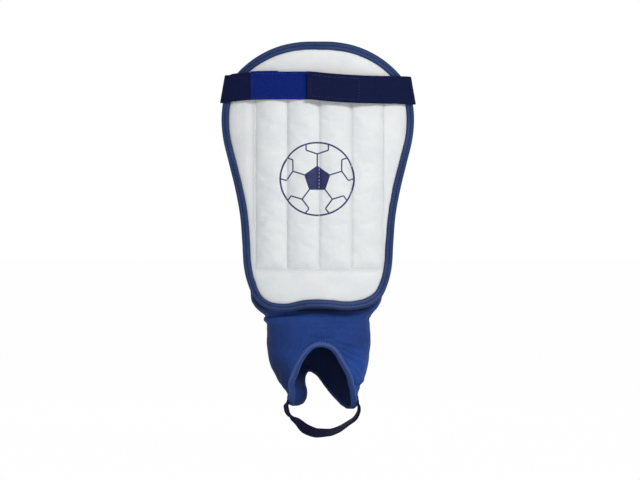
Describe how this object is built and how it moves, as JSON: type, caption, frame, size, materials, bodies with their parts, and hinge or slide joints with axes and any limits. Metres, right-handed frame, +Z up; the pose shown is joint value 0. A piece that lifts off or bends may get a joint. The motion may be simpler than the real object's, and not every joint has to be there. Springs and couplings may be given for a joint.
{
  "type": "shin guard",
  "caption": "Soft shin guard: quilted padded shield with an elastic wrap strap, a knit ankle sleeve with side pads and an elastic stirrup.",
  "frame": {"origin": "centre of the lining face that rests on the shin", "axes": "+Z up the leg, -Y out of the front of the guard, +X to the right of someone facing the front"},
  "size_m": [0.1794, 0.0694, 0.3622],
  "materials": {
    "cover_white": "fine-grained coated fabric",
    "foam_grey": "closed-cell foam",
    "slat_plastic": "semi-rigid moulded sheet",
    "lining_blue": "brushed knit",
    "binding_blue": "folded knit tape with a slight sheen",
    "knit_blue": "stretch knit",
    "elastic_navy": "woven elastic",
    "loop_royal": "loop pile",
    "hook_navy": "hook tape"
  },
  "bodies": {
    "shield": {"front_cover": "cover_white", "foam_core": "foam_grey", "slat_1": "slat_plastic", "slat_2": "slat_plastic", "slat_3": "slat_plastic", "slat_4": "slat_plastic", "back_lining": "lining_blue", "edge_binding": "binding_blue", "sleeve_yoke": "knit_blue", "strap_anchor_section": "elastic_navy", "strap_edge_turn": "elastic_navy", "loop_patch": "loop_royal"},
    "strap_end": {"strap_closure_section": "elastic_navy"},
    "tab": {"strap_tab": "elastic_navy", "hook_patch": "hook_navy"},
    "calf_band": {"strap_calf_section": "elastic_navy"},
    "sleeve": {"sleeve_front_panel": "knit_blue", "sleeve_back_panel": "knit_blue", "instep_binding": "binding_blue", "heel_binding": "binding_blue", "cuff_binding": "binding_blue", "ankle_pad_left": "foam_grey", "ankle_pad_right": "foam_grey", "pad_pocket_left": "knit_blue", "pad_pocket_right": "knit_blue"},
    "stirrup": {"stirrup_left_leg": "elastic_navy", "stirrup_right_leg": "elastic_navy"},
    "sole_band": {"stirrup_sole_band": "elastic_navy"}
  },
  "joints": [
    {"name": "strap_open", "type": "hinge", "parent": "shield", "child": "strap_end", "pos_m": [0.08338, 0.00957, 0.07821], "axis": [-0.1758, -0.1002, 0.9793], "range_deg": [0, 165], "stiffness_Nm_per_rad": 0.002},
    {"name": "tab_adjust", "type": "hinge", "parent": "strap_end", "child": "tab", "pos_m": [0, 0.16972, 0.079], "axis": [0, 0, -1], "range_deg": [0, 8]},
    {"name": "strap_stretch", "type": "slide", "parent": "shield", "child": "calf_band", "axis": [0, 1, 0], "range_m": [0, 0.05], "stiffness_N_per_m": 60},
    {"name": "ankle_flex", "type": "hinge", "parent": "shield", "child": "sleeve", "pos_m": [0, 0.004, -0.123], "axis": [1, 0, 0], "range_deg": [-20, 30], "stiffness_Nm_per_rad": 0.8},
    {"name": "stirrup_swing", "type": "hinge", "parent": "sleeve", "child": "stirrup", "pos_m": [0.0043, 0.028, -0.206], "axis": [1, 0, 0], "range_deg": [-60, 60], "stiffness_Nm_per_rad": 0.01},
    {"name": "stirrup_stretch", "type": "slide", "parent": "stirrup", "child": "sole_band", "axis": [0, 0, -1], "range_m": [0, 0.02], "stiffness_N_per_m": 80}
  ]
}
